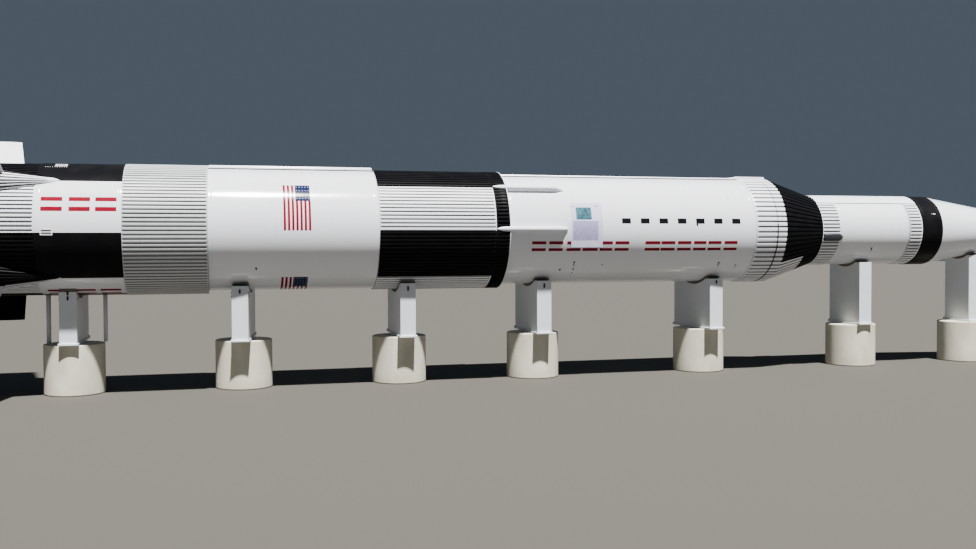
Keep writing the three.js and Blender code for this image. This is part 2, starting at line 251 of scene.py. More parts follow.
# Puts shapes into one mesh that rides on the rocket and stands for its solids
def addPiece(name, shapes, finishes, slot, *nodes, groove=None, sharp=38, bevel=0.0):
    counts = np.cumsum([0] + [len(shape[0]) for shape in shapes])
    points = np.concatenate([shape[0] for shape in shapes])
    quads = np.concatenate([shape[1] + start for shape, start in zip(shapes, counts)])
    triangles = np.concatenate([shape[2] + start for shape, start in zip(shapes, counts)])
    numbers = np.concatenate([shape[3][:len(shape[1])] for shape in shapes]
                             + [shape[3][len(shape[1]):] for shape in shapes])
    corners = np.concatenate([quads.ravel(), triangles.ravel()])
    starts = np.concatenate([np.arange(len(quads)) * 4, len(quads) * 4 + np.arange(len(triangles)) * 3])
    mesh = bpy.data.meshes.new(name)
    mesh.vertices.add(len(points))
    mesh.vertices.foreach_set("co", points.astype(np.float32).ravel())
    mesh.loops.add(len(corners))
    mesh.loops.foreach_set("vertex_index", corners.astype(np.int32))
    mesh.polygons.add(len(starts))
    mesh.polygons.foreach_set("loop_start", starts.astype(np.int32))
    mesh.polygons.foreach_set("material_index", numbers.astype(np.int32))
    mesh.polygons.foreach_set("use_smooth", np.ones(len(starts), bool))
    mesh.update(calc_edges=True)
    mesh.validate()
    mesh.set_sharp_from_angle(angle=math.radians(sharp))
    if groove is not None:
        values = np.zeros(len(points), np.float32)
        values[:groove.size] = groove.ravel()
        mesh.attributes.new("groove", "FLOAT", "POINT").data.foreach_set("value", values)
    for finish in finishes:
        mesh.materials.append(finish)
    piece = linked(name, mesh)
    if bevel:
        edges = piece.modifiers.new("softEdges", "BEVEL")
        edges.width = bevel
        edges.segments = 2
        edges.limit_method = "ANGLE"
        edges.harden_normals = True
    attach(piece, "root")
    if nodes:
        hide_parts(*nodes)


# Shader helpers


# Sets a socket to a number or a colour, or links another node to it
def feed(tree, socket, value):
    if isinstance(value, (int, float)):
        socket.default_value = value
    elif isinstance(value, tuple):
        socket.default_value = (*value, 1)
    else:
        tree.links.new(value, socket)


def maths(tree, operation, *values):
    step = tree.nodes.new("ShaderNodeMath")
    step.operation = operation
    for socket, value in zip(step.inputs, values):
        feed(tree, socket, value)
    return step.outputs[0]


# Rises from toLow to toHigh as the value goes from low to high, and stays there
def ramp(tree, value, low, high, toLow=0.0, toHigh=1.0):
    step = tree.nodes.new("ShaderNodeMapRange")
    labels = ("Value", "From Min", "From Max", "To Min", "To Max")
    for label, number in zip(labels, (value, low, high, toLow, toHigh)):
        feed(tree, step.inputs[label], number)
    return step.outputs[0]


def noise(tree, place, scale, detail=3.0, stretch=(1, 1, 1)):
    mapping = tree.nodes.new("ShaderNodeMapping")
    mapping.inputs["Scale"].default_value = stretch
    tree.links.new(place, mapping.inputs["Vector"])
    texture = tree.nodes.new("ShaderNodeTexNoise")
    texture.inputs["Scale"].default_value = scale
    texture.inputs["Detail"].default_value = detail
    tree.links.new(mapping.outputs[0], texture.inputs["Vector"])
    return texture.outputs[0]


def mixed(tree, share, under, over):
    step = tree.nodes.new("ShaderNodeMix")
    step.data_type = "RGBA"
    for number, value in ((0, share), (6, under), (7, over)):
        feed(tree, step.inputs[number], value)
    return step.outputs[2]


def bump(tree, shader, height, strength, distance):
    step = tree.nodes.new("ShaderNodeBump")
    step.inputs["Strength"].default_value = strength
    step.inputs["Distance"].default_value = distance
    tree.links.new(height, step.inputs["Height"])
    tree.links.new(step.outputs[0], shader.inputs["Normal"])


def objectPlace(tree):
    place = tree.nodes.new("ShaderNodeTexCoord").outputs["Object"]
    axes = tree.nodes.new("ShaderNodeSeparateXYZ")
    tree.links.new(place, axes.inputs[0])
    return place, axes.outputs


# Where a point lies on the rocket: Object coordinates, its station, and its angle from -90 to 270
def surfacePlace(tree):
    place, axes = objectPlace(tree)
    along = maths(tree, "SUBTRACT", axes[0], tail)
    side = maths(tree, "MULTIPLY", axes[1], -1.0)
    height = maths(tree, "SUBTRACT", axes[2], axisZ)
    angle = maths(tree, "DEGREES", maths(tree, "ARCTAN2", height, side))
    angle = maths(tree, "FLOORED_MODULO", maths(tree, "ADD", angle, 90.0), 360.0)
    return place, along, maths(tree, "SUBTRACT", angle, 90.0)


def darker(colour, share):
    return tuple(c * share for c in colour)


# Paint: white or another colour, black where blackPart says, faint runs down the sides, dust on the black,
# grooves darker for dirt and painted shade, and a skin a little uneven so that its gloss isn't perfect

whitePaint = (0.765, 0.79, 0.845)
blackPaint = (0.004, 0.004, 0.005)
wear = dict(runScale=9.0, runStretch=(4.0, 0.5, 0.5), cloudScale=2.3, worn=(0.85, 1.25), wornShade=0.55,
            groove=(0.2, 0.7), dirtAndShadeTone=0.05, cloud=(0.35, 0.7), roughnesses=(0.85, 1.2), dustScale=8.0,
            dustRange=(0.45, 0.8), dust=0.006, dustColour=(0.5, 0.47, 0.42), blackRoughness=0.35,
            specular=0.5, blackSpecular=0.05, skinScale=5.0, skinStrength=0.12, skinDepth=0.004)


def paint(name, colour=whitePaint, roughness=0.3, blackPart=None, grooveDirtAndShade=0.0, runs=0.06, coat=0.0):
    w = wear
    material, tree, shader = newMaterial(name)
    place, along, angle = surfacePlace(tree)
    streak = noise(tree, place, w["runScale"], 5.0, w["runStretch"])
    cloud = noise(tree, place, w["cloudScale"], 4.0)
    worn = ramp(tree, maths(tree, "ADD", streak, cloud), *w["worn"], 1.0 - runs, 1.0)
    shade = mixed(tree, worn, darker(colour, w["wornShade"]), colour)
    # Deeper in a groove the colour darkens: partly dirt, partly painted shade where the ribs shade the
    # grooves
    if grooveDirtAndShade:
        groove = tree.nodes.new("ShaderNodeAttribute")
        groove.attribute_name = "groove"
        depth = maths(tree, "MULTIPLY", ramp(tree, groove.outputs["Fac"], *w["groove"]), grooveDirtAndShade)
        shade = mixed(tree, depth, shade, darker(colour, w["dirtAndShadeTone"]))
    gloss = ramp(tree, cloud, *w["cloud"], *(roughness * share for share in w["roughnesses"]))
    if blackPart:
        black = blackPart(tree, place, along, angle)
        dust = ramp(tree, noise(tree, place, w["dustScale"], 4.0), *w["dustRange"], 0.0, w["dust"])
        shade = mixed(tree, black, shade, mixed(tree, dust, blackPaint, w["dustColour"]))
        gloss = maths(tree, "MAXIMUM", gloss, maths(tree, "MULTIPLY", black, w["blackRoughness"]))
        if blackPart is wholeBlack:
            shader.inputs["Specular IOR Level"].default_value = w["blackSpecular"]
        else:
            specular = ramp(tree, black, 0, 1, w["specular"], w["blackSpecular"])
            tree.links.new(specular, shader.inputs["Specular IOR Level"])
        if coat:
            tree.links.new(ramp(tree, black, 0, 1, coat, 0.0), shader.inputs["Coat Weight"])
    else:
        shader.inputs["Coat Weight"].default_value = coat
    tree.links.new(shade, shader.inputs["Base Color"])
    tree.links.new(gloss, shader.inputs["Roughness"])
    bump(tree, shader, noise(tree, place, w["skinScale"], 2.0), w["skinStrength"], w["skinDepth"])
    return material


# Where the black paint lies. A part is 1 inside and 0 outside: either is the larger, both the product.

firstBlack = dict(low=(-46.2, -3.5), high=(43.8, 90.0), underside=-74.5)
interstageSectors = ((43.4, 54.6, 180.0), (-50.9, 49.3, 180.0))  # first angle, width, and repeat
eightSectors = (45.0, 45.0, 90.0)
conePanels = dict(start=7.513, wave=0.004, lowerEnd=7.787, lower=((-91, -38.5), (218.5, 271)),
                  upperEnd=7.915, upper=(77, 103))


def above(tree, value, limit):
    return maths(tree, "GREATER_THAN", value, limit)


def below(tree, value, limit):
    return maths(tree, "LESS_THAN", value, limit)


def both(tree, part, other):
    return maths(tree, "MULTIPLY", part, other)


def either(tree, part, other):
    return maths(tree, "MAXIMUM", part, other)


def within(tree, value, low, high):
    return both(tree, above(tree, value, low), below(tree, value, high))


def sectors(tree, angle, start, width, every):
    return below(tree, maths(tree, "FLOORED_MODULO", maths(tree, "SUBTRACT", angle, start), every), width)


# The first stage's eight sectors, each about 45 degrees wide, and a strip of the lowest black one
def firstStageBlack(tree, place, along, angle):
    near = either(tree, within(tree, angle, *firstBlack["low"]), within(tree, angle, *firstBlack["high"]))
    far = both(tree, above(tree, angle, 90.0), sectors(tree, angle, *eightSectors))
    return either(tree, either(tree, near, far), below(tree, angle, firstBlack["underside"]))


def fairingBlack(tree, place, along, angle):
    return sectors(tree, angle, *eightSectors)


def interstageBlack(tree, place, along, angle):
    return either(tree, *(sectors(tree, angle, *sizes) for sizes in interstageSectors))


def wholeBlack(tree, place, along, angle):
    return above(tree, along, 0.0)


# The cone's paint starts on a hand-masked line, and leaves a white panel below and one on top
def coneBlack(tree, place, along, angle):
    c = conePanels
    wave = ramp(tree, noise(tree, place, 7.0, 2.0), 0.3, 0.7, -c["wave"], c["wave"])
    start = above(tree, maths(tree, "ADD", along, wave), c["start"])
    lower = both(tree, below(tree, along, c["lowerEnd"]),
                 either(tree, *(within(tree, angle, *panel) for panel in c["lower"])))
    upper = both(tree, below(tree, along, c["upperEnd"]), within(tree, angle, *c["upper"]))
    return both(tree, start, maths(tree, "SUBTRACT", 1.0, either(tree, lower, upper)))


def plainPaint(name, colour, roughness=0.35, metallic=0.0, grain=60.0, depth=0.0006, spread=0.12, gloss=0.5):
    material, tree, shader = newMaterial(name)
    place = tree.nodes.new("ShaderNodeTexCoord").outputs["Object"]
    mottle = noise(tree, place, grain, 5.0)
    shade = mixed(tree, ramp(tree, mottle, 0.3, 0.7), darker(colour, 1 - spread), colour)
    rough = ramp(tree, mottle, 0.3, 0.7, roughness * 0.85, roughness * 1.15)
    tree.links.new(shade, shader.inputs["Base Color"])
    tree.links.new(rough, shader.inputs["Roughness"])
    shader.inputs["Metallic"].default_value = metallic
    shader.inputs["Specular IOR Level"].default_value = gloss
    bump(tree, shader, mottle, 0.4, depth)
    return material


cement = dict(wash=(0.70, 0.67, 0.56), thinWash=(0.54, 0.505, 0.405), dust=(0.40, 0.36, 0.29),
              dustHigh=(0.05, 0.16), dustShare=0.35, roughness=0.78, cloudScale=6.0, poreScale=90.0,
              poreShare=0.35, depth=0.003)


# Cast drums: cream wash over cement, dustier towards the ground, with pores
def drumMaterial(wash, thinWash, dust, dustHigh, dustShare, roughness, cloudScale, poreScale, poreShare,
                 depth):
    material, tree, shader = newMaterial("creamDrum")
    place, axes = objectPlace(tree)
    cloud = noise(tree, place, cloudScale, 6.0, (1, 1, 0.6))
    pores = noise(tree, place, poreScale)
    height = maths(tree, "ADD", axes[2], maths(tree, "MULTIPLY", cloud, 0.12))
    shade = mixed(tree, ramp(tree, cloud, 0.35, 0.7), thinWash, wash)
    shade = mixed(tree, ramp(tree, height, *dustHigh, dustShare, 0.0), shade, dust)
    tree.links.new(shade, shader.inputs["Base Color"])
    shader.inputs["Roughness"].default_value = roughness
    skin = maths(tree, "ADD", cloud, maths(tree, "MULTIPLY", pores, poreShare))
    bump(tree, shader, skin, 0.5, depth)
    return material


glossWhite = paint("glossWhite", roughness=0.12, coat=0.25)
fuelTankPaint = paint("fuelTankPaint", roughness=0.12, blackPart=firstStageBlack, coat=0.25)
thrustSkirtPaint = paint("thrustSkirtPaint", roughness=0.4, blackPart=firstStageBlack, grooveDirtAndShade=0.82)
fairingPaint = paint("fairingPaint", roughness=0.4, blackPart=fairingBlack, grooveDirtAndShade=0.95)
silverRibs = paint("silverRibs", colour=(0.495, 0.515, 0.535), roughness=0.40, grooveDirtAndShade=0.62, runs=0.12)
interstagePaint = paint("interstagePaint", roughness=0.4, blackPart=interstageBlack, grooveDirtAndShade=0.9)
skirtWhite = paint("skirtWhite", roughness=0.38, grooveDirtAndShade=0.82)
ringBlack = paint("ringBlack", roughness=0.45, blackPart=wholeBlack)
conePaint = paint("conePaint", roughness=0.4, blackPart=coneBlack, grooveDirtAndShade=0.9)
trimWhite = paint("trimWhite", roughness=0.32)
finBlack = paint("finBlack", roughness=0.3, blackPart=wholeBlack)
basePlate = plainPaint("basePlate", (0.46, 0.465, 0.47), 0.5, 0.25, 12.0)
podGrey = plainPaint("podGrey", (0.022, 0.025, 0.032), 0.45)
bellMetal = plainPaint("bellMetal", (0.30, 0.28, 0.26), 0.38, 0.9, 30.0)
postPaint = plainPaint("postPaint", (0.66, 0.69, 0.735), 0.42, 0.0, 8.0, 0.0008, 0.06)
boltSteel = plainPaint("boltSteel", (0.45, 0.44, 0.42), 0.35, 0.9)
padRubber = plainPaint("padRubber", (0.16, 0.14, 0.115), 0.85, 0.0, 120.0, 0.0006, 0.4)
# A near-black finish: the capsule's window glass, and painted shade in gaps, recesses and slots
paintedShadeAndGlass = plainPaint("paintedShadeAndGlass", (0.02, 0.02, 0.022), 0.8)
creamDrum = drumMaterial(**cement)
inks = dict(
    red=plainPaint("flagRed", (0.21, 0.004, 0.018), 0.16, depth=0.0001, gloss=0.10),
    blue=plainPaint("flagBlue", (0.013, 0.020, 0.065), 0.11, depth=0.0001, gloss=0.14),
    white=plainPaint("flagWhite", (0.82, 0.82, 0.84), 0.30, spread=0.05),
    black=plainPaint("markBlack", (0.006, 0.006, 0.008), 0.35, gloss=0.12),
    sheet=plainPaint("noticeSheet", (0.60, 0.60, 0.78), 0.16, grain=14.0, depth=0.002, spread=0.10),
    teal=plainPaint("noticeTeal", (0.07, 0.19, 0.24), 0.2, grain=34.0, spread=0.75),
    lilac=plainPaint("noticeLilac", (0.36, 0.34, 0.56), 0.2, grain=40.0, spread=0.25))
print("finishes ready")

# Ribbed sections: flat crests with a groove between each two. The grooves run out before each end.

ribShape = dict(crest=0.50, wall=0.05, depths=(0.14, 0.035, 0, 0.035, 0.14, 0.95, 1, 0.95), rim=0.003,
                foreRim=0.005, runOut=0.008, edge=0.0015, seamEdge=0.004, seamFrom=0.004, seamTo=0.009,
                seamDeep=0.004, taper=0.024, taperCrest=0.89)


def span(node):
    low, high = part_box(node)
    return low.x - tail, high.x - tail


# One pitch of a ribbed ring as phases and depths, repeated: depth is 0 on a crest and 1 in a groove.
# One row of angles comes out for each crest share that goes in.
def ribColumns(ribs, crest=ribShape["crest"]):
    half = np.atleast_1d(crest)[:, None] / 2
    wall = half + ribShape["wall"]
    middle = np.full_like(half, 0.5)
    phases = np.hstack([-half, -half / 2, 0 * half, half / 2, half, wall, middle, 1 - wall])
    angles = (np.arange(ribs)[:, None] + phases[:, None, :]) * 360 / ribs
    return angles.reshape(len(half), -1), np.tile(ribShape["depths"], ribs)


# Rows of (station, how far the grooves are open, inset, ring groove, crest share) at one end. A plain
# rim closes the grooves, an open end runs them out to a seam darkened as dirt and painted shade, a
# tapered one narrows them to nothing while the crests sink by the ribs' depth, and a seam adds a ring
# groove beside the rim.
def ribEnd(kind, rim, crest, depth):
    shape = ribShape
    edge, seamEdge = shape["edge"], shape["seamEdge"]
    if kind == "open":
        return [(0, 1, seamEdge, 1, crest), (seamEdge, 1, 0, 0, crest)]
    if kind == "tapered":
        return [(0, 0, depth, 0, shape["taperCrest"]), (shape["taper"], 1, 0, 0, crest)]
    rows = [(0, 0, edge, 0, crest), (edge, 0, 0, 0, crest)]
    if kind == "seam":
        low, high, deep = (shape[key] for key in ("seamFrom", "seamTo", "seamDeep"))
        rows += [(low - edge / 2, 0, 0, 0, crest), (low, 0, deep, 1, crest), (high, 0, deep, 1, crest),
                 (high + edge / 2, 0, 0, 0, crest)]
        rim += high
    return rows + [(rim, 0, 0, 0, crest), (rim + shape["runOut"], 1, 0, 0, crest)]


# Radius at (station, angle) = crest radius at that station - inset - rib depth x groove depth.
# A section that narrows gives a radius for each of its bends.
def ribbedSection(name, finish, slot, radius, ribs, depth, crest=ribShape["crest"], aft="plain", fore="plain",
                  bends=0, stops=()):
    start, end = span(name)
    rows = [(start + at, *rest) for at, *rest in ribEnd(aft, ribShape["rim"], crest, depth)]
    rows += [(stop, 1, 0, 0, crest) for stop in stops]
    rows += [(end - at, *rest) for at, *rest in reversed(ribEnd(fore, ribShape["foreRim"], crest, depth))]
    stations, opened, inset, ring, crests = np.array(rows, float).T
    angles, depths = ribColumns(ribs, crests)
    cut = opened[:, None] * depths
    crestRadii = np.interp(stations, np.atleast_1d(bends), np.atleast_1d(radius))
    radii = crestRadii[:, None] - inset[:, None] - depth * cut
    count = angles.shape[1]
    finishes = np.zeros((len(rows) + 1) * count, int)
    finishes[(len(rows) - 1) * count:len(rows) * count] = 1  # the aft end, which the thrust skirt shows
    body = ringed(around(stations[:, None], radii, angles), finishes)
    # The grooves, end seams and ring groove are darkened in the paint: dirt and painted shade
    addPiece(name, [body], [finish, basePlate], slot, name, groove=np.maximum(cut, ring[:, None]))


coneStart, coneEnd = span("cone_interstage")
coneBend = 7.515  # where the cone starts to narrow
coneShape = dict(radius=(0.489, 0.332), ribs=64, depth=0.008, crest=0.60, aft="open",
                 bends=(coneBend, coneEnd), stops=(coneBend - 0.01, coneBend + 0.01))
thirdSkirt = dict(radius=0.334, ribs=60, depth=0.008)
ribbedSection("thrust_skirt", thrustSkirtPaint, "skirt_paint", radius=0.523, ribs=100, depth=0.010)
ribbedSection("intertank", silverRibs, "silver_paint", radius=0.530, ribs=100, depth=0.010, crest=0.54)
ribbedSection("first_interstage", interstagePaint, "skirt_paint", radius=0.513, ribs=100, depth=0.009,
              crest=0.56)
ribbedSection("second_forward_skirt", skirtWhite, "skirt_paint", radius=0.489, ribs=64, depth=0.009,
              crest=0.60, aft="tapered", fore="open")
ribbedSection("cone_interstage", conePaint, "ring_paint", **coneShape)
ribbedSection("third_aft_skirt", skirtWhite, "skirt_paint", **thirdSkirt)
ribbedSection("third_forward_skirt", skirtWhite, "skirt_paint", aft="seam", **thirdSkirt)

# A dark strip in the gap ahead of the skirt: painted shadow where the gap lies in shade
seam = dict(half=0.006, angles=(-89.0, 6.0), radius=0.489)  # the gap ahead of the skirt, along its lower half
seamShadowStrip = patch((coneStart - seam["half"], coneStart + seam["half"]), seam["angles"], seam["radius"])
addPiece("painted_seam_shadow", [seamShadowStrip], [paintedShadeAndGlass], "ring_paint")
print("ribbed sections ready")

# Smooth tanks: a turned profile with softened ends and a shallow weld bead at each end of the barrel

tankShape = dict(edge=0.004, beadIn=0.030, beadWide=0.006, beadHigh=0.0012)


# Marks are pairs of an ink and a shape, and lie on the tank as thin sheets
def tank(name, radius, finish, marks=(), slot="gloss_paint", foreRadius=None):
    start, end = span(name)
    aft, fore = radius, foreRadius or radius
    edge, inset, wide, high = (tankShape[key] for key in ("edge", "beadIn", "beadWide", "beadHigh"))
    profile = [(start, aft - edge), (start + edge / 3, aft - edge / 3), (start + edge, aft)]
    for middle in (start + inset, end - inset):
        here = aft + (fore - aft) * (middle - start) / (end - start)
        profile += [(middle - wide / 2, here), (middle, here + high), (middle + wide / 2, here)]
    profile += [(end - edge, fore), (end - edge / 3, fore - edge / 3), (end, fore - edge)]
    used = sorted({ink for ink, _ in marks})
    sheets = [(*shape[:3], np.full(len(shape[3]), used.index(ink) + 1)) for ink, shape in marks]
    addPiece(name, [turned(profile, 256), *sheets], [finish, *(inks[ink] for ink in used)], slot, name)


# A round dab: a short cylinder that stands square on the body, with its top edge drawn in
def spot(at, angle, radius, size, high=0.003):
    base = around(at, radius - sheet["sunk"], angle)
    return turnedAlong(base, outwards(angle), [(0, size), (high, size), (high + 0.001, size * 0.6)])


# A pair of slim bars at each place, one at either end of the angles
def barPairs(places, angles, radius):
    low, high = angles
    width = (high - low) * 0.3
    return [("red", patch(place, side, radius)) for place in places
            for side in ((low, low + width), (high - width, high))]


# A white plate with two dark bars across it
def plate(stations, angles, radius):
    (start, end), (low, high) = stations, angles
    margin, share = 0.008, (high - low) * 0.2
    marks = [("white", patch(stations, angles, radius, 0.0010))]
    for step in (1, 3):
        side = (low + share * step, low + share * (step + 1))
        marks.append(("black", patch((start + margin, end - margin), side, radius, 0.0014)))
    return marks


flag = dict(stripes=7, pitch=0.033, stripe=0.0185, tall=46.3, fieldFrom=0.096, fieldTo=0.2135, fieldLow=28.1,
            dots=(5, 4), margins=(0.012, 2.4), dot=0.0036,
            places=((3.010, -1.6), (2.998, -97.1), (3.010, 178.4), (2.998, 82.9)))


# Seven red stripes across the rocket; four of them start below a blue field with rows of white dots
def flagMarks(start, low, radius):
    f = flag
    marks = []
    for number in range(f["stripes"]):
        at = start + number * f["pitch"]
        top = f["tall"] if at < start + f["fieldFrom"] - f["stripe"] / 2 else f["fieldLow"]
        marks.append(("red", patch((at, at + f["stripe"]), (low, low + top), radius)))
    field = (start + f["fieldFrom"], start + f["fieldTo"])
    marks.append(("blue", patch(field, (low + f["fieldLow"], low + f["tall"]), radius, 0.0010)))
    (columns, rows), (inset, rise) = f["dots"], f["margins"]
    for at in np.linspace(field[0] + inset, field[1] - inset, columns):
        for angle in np.linspace(f["fieldLow"] + rise, f["tall"] - rise, rows):
            marks.append(("white", spot(at, low + angle, radius + 0.001, f["dot"], 0.0008)))
    return marks


notice = dict(stations=(5.439, 5.725), angles=(-18.5, 28.4), gap=0.002, lift=0.010, bend=-6.0, thick=0.0008,
              wave=0.0006, waveAlong=60, waveRound=0.2, overSheet=0.0006,
              blocks=(("teal", (5.485, 5.624), (10.0, 23.0)), ("lilac", (5.452, 5.683), (-11.3, 8.4))),
              pins=((5.672, 24.6, 0.0055), (5.455, 24.0, 0.0035), (5.440, -17.5, 0.0035)), pinHigh=0.006)


# The notice: a sheet in a sleeve that lies on the tank and lifts along its lower edge. Its height over
# the tank = gap + lift x (share below the bend)^2 + a faint wave along the rocket.
def noticeShape(stations, angles, radius, over=0.0):
    n = notice
    along = np.linspace(*stations, 14)[:, None]
    angle = np.linspace(*angles, 40)
    hang = np.clip((n["bend"] - angle) / (n["bend"] - n["angles"][0]), 0, 1) ** 2
    wave = n["wave"] * np.sin(along * n["waveAlong"] + angle * n["waveRound"])
    height = radius + n["gap"] + over + n["lift"] * hang + wave
    return slab(around(along, height, angle), around(along, height - n["thick"], angle))


def noticeMarks(radius):
    n = notice
    pins = [("black", spot(at, angle, radius, size, n["pinHigh"])) for at, angle, size in n["pins"]]
    blocks = [(ink, noticeShape(*place, radius, n["overSheet"])) for ink, *place in n["blocks"]]
    return [("sheet", noticeShape(n["stations"], n["angles"], radius)), *pins, *blocks]


tankRadii = dict(fuel=0.527, oxidiser=0.503, second=0.479, third=0.330, ring=0.337)
bars = dict(
    fuelAngles=(14.3, 26.9), secondAngles=(-23.1, -12.6),
    fuel=((1.220, 1.372), (1.417, 1.569), (1.605, 1.758)),
    second=((5.088, 5.214), (5.241, 5.367), (5.403, 5.531), (5.549, 5.688), (5.706, 5.823), (5.846, 5.977),
            (6.128, 6.271), (6.280, 6.415), (6.439, 6.570), (6.595, 6.717), (6.736, 6.864), (6.894, 7.023)))
plates = (((1.219, 1.305), (-5.6, -0.2)), ((1.280, 1.366), (69.0, 76.0)))
vents = dict(count=10, first=1.215, pitch=0.017, angle=66.5, size=0.003)  # a row of small white spots
ticks = dict(count=7, first=5.904, pitch=0.1765, length=0.083, angles=(5.9, 11.6))
scuffs = dict(  # station, angle at the top, radius, and how far down it runs in degrees
    oxidiser=((2.795, -38.7, 0.006, 2),),
    second=((5.382, -46.5, 0.006, 2), (5.495, -36.7, 0.007, 5), (5.503, -46.4, 0.007, 13),
            (5.760, -40.0, 0.004, 1), (6.621, 4.7, 0.007, 1), (6.886, -39.0, 0.007, 5),
            (6.969, 37.0, 0.004, 1), (7.064, -42.2, 0.005, 4)),
    third=((8.546, -32.0, 0.007, 5),))
ringMarks = dict(spot=(9.203, 27.5), spotSize=0.003, line=((9.217, 9.243), (26.9, 28.1)))


# A scuff runs down the side as three round dabs, each smaller than the one above
def scuffMarks(stage):
    r = tankRadii[stage]
    return [("black", spot(at + 0.2 * size * dab, angle - run * dab / 2, r, size * (1.4 - 0.28 * dab), 0.001))
            for at, angle, size, run in scuffs[stage] for dab in range(3)]


def fuelMarks():
    r, v = tankRadii["fuel"], vents
    marks = [mark for place in plates for mark in plate(*place, r)]
    marks += [("white", spot(v["first"] + v["pitch"] * number, v["angle"], r, v["size"]))
              for number in range(v["count"])]
    low, high = bars["fuelAngles"]
    for quarter in (0, 90, 180, 270):
        marks += barPairs(bars["fuel"], (quarter + low, quarter + high), r)
    return marks


def secondMarks():
    r, t = tankRadii["second"], ticks
    marks = noticeMarks(r)
    low, high = bars["secondAngles"]
    for side in (0, 180):
        marks += barPairs(bars["second"], (side + low, side + high), r)
        for number in range(t["count"]):
            start = t["first"] + t["pitch"] * number
            angles = [side + angle for angle in t["angles"]]
            marks.append(("black", patch((start, start + t["length"]), angles, r)))
    return marks + scuffMarks("second")


def instrumentMarks():
    r, m = tankRadii["ring"], ringMarks
    return [("white", spot(*m["spot"], r, m["spotSize"], 0.001)), ("white", patch(*m["line"], r))]


flags = [mark for place in flag["places"] for mark in flagMarks(*place, tankRadii["oxidiser"])]
tank("fuel_tank", tankRadii["fuel"], fuelTankPaint, fuelMarks())
tank("oxidiser_tank", tankRadii["oxidiser"], glossWhite, flags + scuffMarks("oxidiser"))
tank("second_stage_tank", tankRadii["second"], glossWhite, secondMarks())
tank("third_stage_tank", tankRadii["third"], glossWhite, scuffMarks("third"))
tank("instrument_ring", tankRadii["ring"], ringBlack, instrumentMarks(), "ring_paint")
tank("adapter_cone", 0.333, glossWhite, foreRadius=0.1955)
print("tanks ready")

# Tail: corrugated fairings, fins and engines

fairing = dict(aft=0.290, tip=1.342, axisAft=0.462, axisTip=0.514, radius=0.258, tipRadius=0.024, wall=0.012,
               ribs=13, crest=0.44, depth=0.013, foot=0.514, lip=0.012, ribsEnd=0.93)
diagonals = (45, 135, 225, 315)


# A half cone that leans on the body. At each station a circle of the cone's radius stands at the
# cone's axis, and the arch keeps its part outside the foot's radius. Ribs run along it and meet at the tip.
def fairingGrid(angle, inset, depth):
    f = fairing
    share = np.concatenate([[0, 0.004, f["lip"]], np.linspace(0.03, 0.955, 12), [0.975, 0.99, 1.0]])[:, None]
    axis = f["axisAft"] + (f["axisTip"] - f["axisAft"]) * share
    cone = f["radius"] + (f["tipRadius"] - f["radius"]) * share - inset
    cone = cone * np.sqrt(np.clip((1.0 - share) / 0.03, 0.25, 1.0))
    reach = np.arccos(np.clip((f["foot"] ** 2 - axis ** 2 - cone ** 2) / (2 * axis * cone), -1, 1))
    angles, depths = ribColumns(f["ribs"], f["crest"])
    turn = (np.clip(angles / 360, 0, 1) * 2 - 1) * reach
    groove = np.where((share > f["lip"]) & (share < f["ribsEnd"]), 1.0, 0.0) * depths
    radius = cone - groove * depth * np.clip((1 - share) * 2, 0.15, 1)
    stations = f["aft"] + (f["tip"] - f["aft"]) * share
    return beside(stations, axis + radius * np.cos(turn), radius * np.sin(turn), angle), groove


fin = dict(root=dict(radial=0.590, fore=0.960, aft=0.500, half=0.015),
           tip=dict(radial=1.080, fore=0.872, aft=0.542, half=0.007), edgeHalf=0.0008, tipShare=0.6, steps=14)


# One side of a fin: half thickness = half x (1 - |2c - 1|^3), c from the leading to the trailing edge
def finSide(angle, side):
    out = np.array([0, 0.25, 0.5, 0.75, 0.97, 1.0])[:, None]
    radial, fore, aft, half = (fin["root"][key] + (fin["tip"][key] - fin["root"][key]) * out
                               for key in ("radial", "fore", "aft", "half"))
    chord = (1 - np.cos(np.linspace(0, np.pi, fin["steps"]))) / 2
    half = half * np.where(out == 1.0, fin["tipShare"], 1.0)
    offset = side * (half * (1 - np.abs(2 * chord - 1) ** 3) + fin["edgeHalf"])
    return beside(aft + (fore - aft) * chord, radial, offset, angle)


def addTail():
    for number, angle in enumerate(diagonals, 1):
        outer, groove = fairingGrid(angle, 0.0, fairing["depth"])
        inner, _ = fairingGrid(angle, fairing["wall"], 0.0)
        name = f"tail_fairing_{number}"
        # The fairing's grooves are darkened in its paint: dirt and painted shade
        addPiece(name, [slab(outer, inner)], [fairingPaint], "skirt_paint", name, groove=groove)
        sides = slab(finSide(angle, -1), finSide(angle, 1), 0, 1)  # white side first, black side second
        addPiece(f"fin_{number}", [sides], [trimWhite, finBlack], "skirt_paint", f"fin_{number}")


addTail()

bell = dict(mouth=0.188, wall=0.005, ring=0.462, throat=0.050, throatAt=0.405, neck=0.060, neckEnd=0.5877,
            flange=0.075, flangeWide=0.02, power=0.86, bands=9, bandsFrom=0.03, bandsTo=0.86, bandHigh=0.003,
            bandHalf=0.004)


